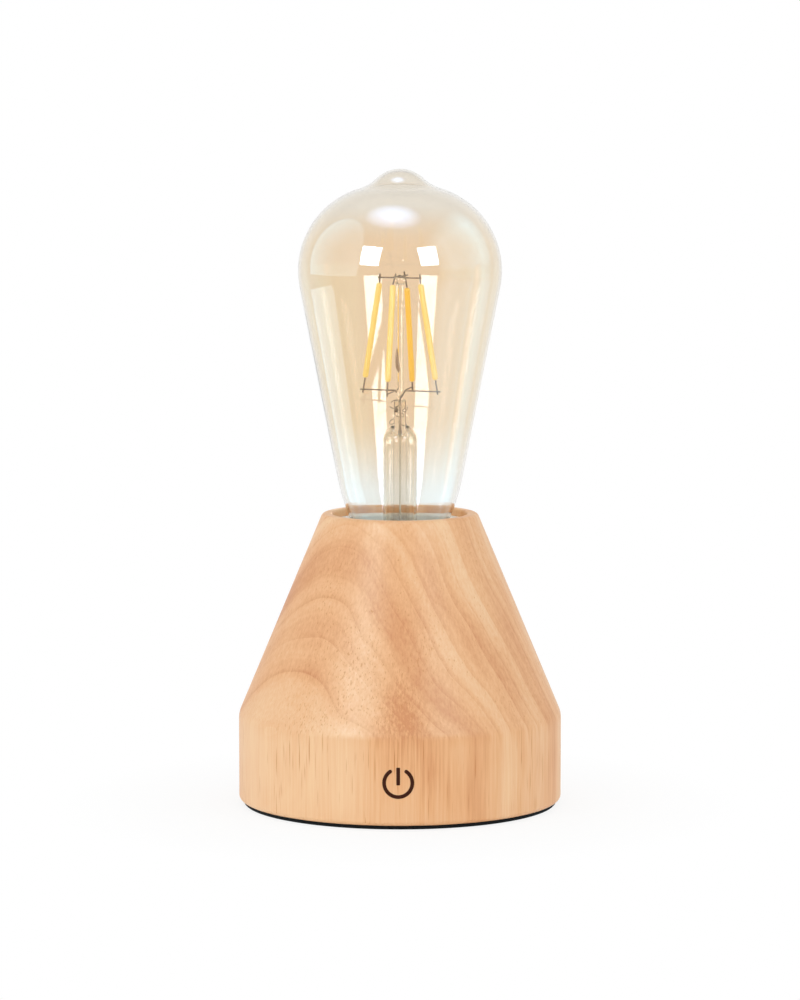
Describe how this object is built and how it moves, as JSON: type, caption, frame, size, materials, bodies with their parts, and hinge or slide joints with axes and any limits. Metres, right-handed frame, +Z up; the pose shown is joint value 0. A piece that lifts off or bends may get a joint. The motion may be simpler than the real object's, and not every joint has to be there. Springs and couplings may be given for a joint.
{
  "type": "table lamp",
  "caption": "Cordless table lamp: a turned wooden cone with a touch switch, a sunk lampholder and a bare filament bulb that unscrews, and cells behind a hinged door underneath.",
  "frame": {"origin": "centre of the foot pad's underside, on the table", "axes": "+Z up along the axis of the base and the bulb; the touch point that switches the lamp faces -Y; +X is on the right when the lamp is looked at from the front"},
  "size_m": [0.102, 0.102, 0.2005],
  "materials": {
    "light_wood": "satin",
    "foot_foam": "matt",
    "black_plastic": "matt",
    "screw_steel": "bright zinc",
    "cell_sleeve": "printed sleeve, satin",
    "contact_nickel": "nickel plated",
    "board_green": "solder mask",
    "part_black": "moulded",
    "copper": "bare copper foil",
    "lead_white": "insulation",
    "lead_red": "insulation",
    "lead_black": "insulation",
    "holder_white": "moulded, satin",
    "insert_white": "moulded",
    "shell_nickel": "nickel plated",
    "contact_brass": "bare",
    "cap_metal": "rolled, bright",
    "cap_black": "black glass",
    "cap_solder": "soldered",
    "cap_cement": "chalky",
    "resistor": "lacquer",
    "amber_glass": "clear, amber tinted",
    "clear_glass": "clear",
    "wire_metal": "drawn wire",
    "filament_yellow": "phosphor in silicone"
  },
  "bodies": {
    "base": {"wood_base": "light_wood", "foot_pad": "foot_foam", "base_plate": "black_plastic", "plate_screws": "screw_steel", "battery_1": "cell_sleeve", "battery_2": "cell_sleeve", "battery_3": "cell_sleeve", "battery_contacts": "contact_nickel", "battery_springs": "contact_nickel", "control_board": "board_green", "board_parts": "part_black", "board_screws": "screw_steel", "touch_electrode": "copper", "touch_lead": "lead_white", "battery_lead_red": "lead_red", "battery_lead_black": "lead_black", "lamp_lead_red": "lead_red", "lamp_lead_black": "lead_black", "holder_shroud": "holder_white", "holder_insert": "insert_white", "screw_shell": "shell_nickel", "centre_contact": "contact_brass", "side_contact": "contact_brass", "terminal_screws": "contact_brass", "holder_screws": "screw_steel"},
    "battery_door": {"battery_door": "black_plastic"},
    "bulb_lift": {"cap_contact": "cap_solder"},
    "bulb": {"bulb_cap": "cap_metal", "cap_insulator": "cap_black", "cap_cement": "cap_cement", "cap_resistor": "resistor", "bulb_glass": "amber_glass", "bulb_stem": "clear_glass", "exhaust_tube": "clear_glass", "support_rod": "clear_glass", "lead_wire_front": "wire_metal", "lead_wire_back": "wire_metal", "top_wires": "wire_metal", "filament_pins": "wire_metal", "filament_1": "filament_yellow", "filament_2": "filament_yellow", "filament_3": "filament_yellow", "filament_4": "filament_yellow"}
  },
  "joints": [
    {"name": "bulb_lift", "type": "slide", "parent": "base", "child": "bulb_lift", "axis": [0, 0, 1], "range_m": [0, 0.01452]},
    {"name": "bulb_turn", "type": "hinge", "parent": "bulb_lift", "child": "bulb", "pos_m": [0, 0, 0.07], "axis": [0, 0, 1], "range_deg": [0, 1440]},
    {"name": "battery_door", "type": "hinge", "parent": "base", "child": "battery_door", "pos_m": [-0.0288, 0, 0.0024], "axis": [0, 1, 0], "range_deg": [0, 90]}
  ],
  "couplings": [
    {"joint": "bulb_lift", "follows": "bulb_turn", "m_per_rad": 0.00057757}
  ]
}
